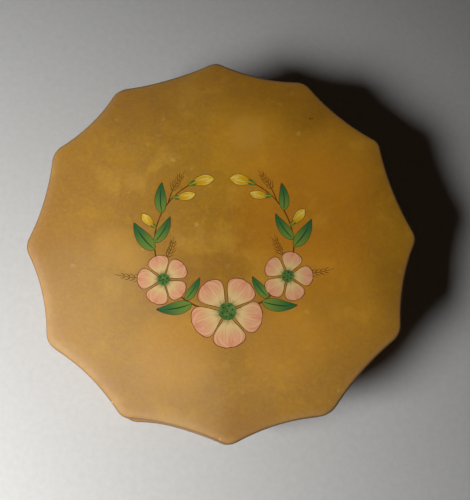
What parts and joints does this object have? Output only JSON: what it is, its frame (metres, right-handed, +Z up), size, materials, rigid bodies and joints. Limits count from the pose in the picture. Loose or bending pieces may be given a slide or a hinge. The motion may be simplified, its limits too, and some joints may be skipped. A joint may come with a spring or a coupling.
{
  "type": "trinket box",
  "caption": "Low fluted stone trinket box with a star outline, a round turned hollow and a loose lid that lifts straight off.",
  "frame": {"origin": "centre of the underside, on the surface that the box stands on", "axes": "+Z up along the box's axis and the way the lid lifts, +X and +Y each through a point of the bowl's rim"},
  "size_m": [0.1152, 0.1152, 0.034],
  "materials": {
    "alabaster": "honey alabaster, polished to a waxy satin",
    "felt": "thin pressed felt"
  },
  "bodies": {
    "base": {"base": "alabaster", "felt_pad": "felt"},
    "lid": {"lid": "alabaster"}
  },
  "joints": [
    {"name": "lid_lift", "type": "slide", "parent": "base", "child": "lid", "axis": [0, 0, 1], "range_m": [0, 0.06]}
  ]
}
